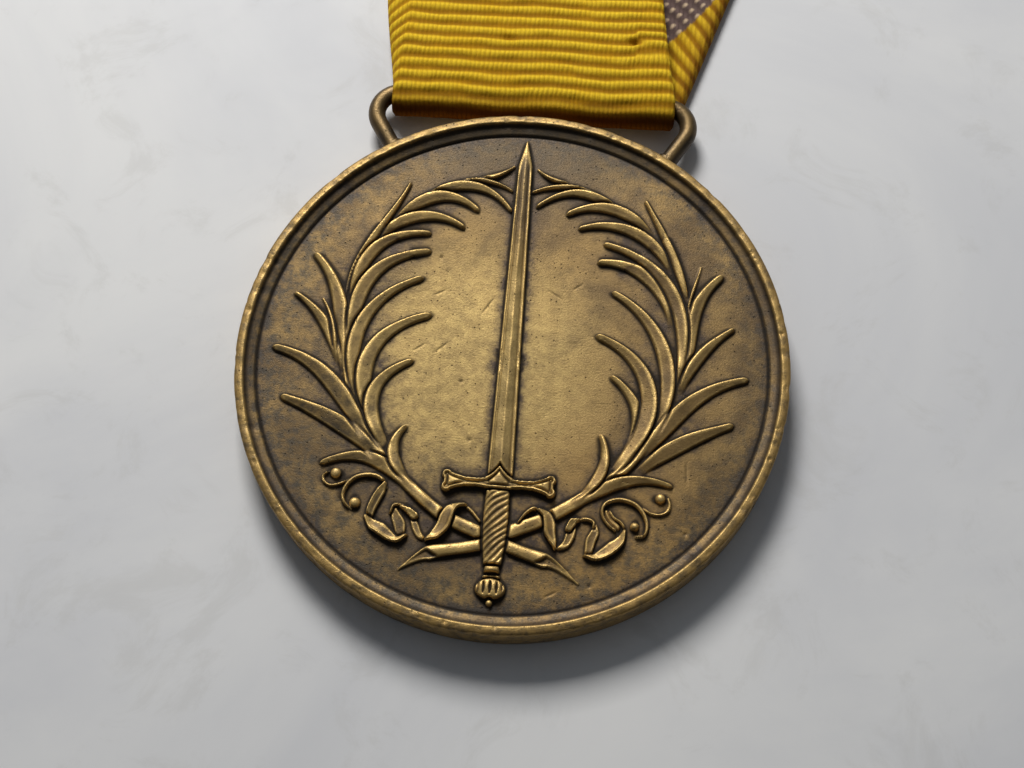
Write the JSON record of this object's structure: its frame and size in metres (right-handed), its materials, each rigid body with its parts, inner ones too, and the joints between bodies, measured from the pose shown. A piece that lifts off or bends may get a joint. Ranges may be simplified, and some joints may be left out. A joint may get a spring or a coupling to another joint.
{
  "type": "military service medal",
  "caption": "Round struck service medal with a sword between palm branches, hung by a brazed wire bail from a ribbed cloth ribbon folded round its bar.",
  "frame": {"origin": "centre of the disc's back, on the plane that its back rim and plain roundel share", "axes": "+Z out of the struck face, +Y from the disc's centre to the ribbon, +X to the right as the face is read"},
  "size_m": [0.0365, 0.0688, 0.0026],
  "materials": {
    "struck_bronze": "worn gilt bronze, brown in the recesses and bright on the raised edges",
    "wire_bronze": "drawn wire, dull brown bronze",
    "braze": "dull run-in braze metal",
    "ribbon_cloth": "ribbed golden yellow weave with a grey-violet stripe, soft sheen"
  },
  "bodies": {
    "medal": {"medal_disc": "struck_bronze", "suspension_bail": "wire_bronze", "left_braze_joint": "braze", "right_braze_joint": "braze"},
    "ribbon_loop": {"ribbon_fold": "ribbon_cloth"},
    "ribbon_front": {"ribbon_front_leg": "ribbon_cloth"},
    "ribbon_rear": {"ribbon_rear_leg": "ribbon_cloth"}
  },
  "joints": [
    {"name": "ribbon_shift", "type": "slide", "parent": "medal", "child": "ribbon_loop", "axis": [1, 0, 0], "range_m": [-0.0003, 0.0003]},
    {"name": "front_leg_swing", "type": "hinge", "parent": "ribbon_loop", "child": "ribbon_front", "pos_m": [0, 0.01835, 0.0013], "axis": [1, 0, 0], "range_deg": [0, 90]},
    {"name": "rear_leg_swing", "type": "hinge", "parent": "ribbon_loop", "child": "ribbon_rear", "pos_m": [0, 0.01835, 0.0013], "axis": [1, 0, 0], "range_deg": [-90, 0]}
  ]
}
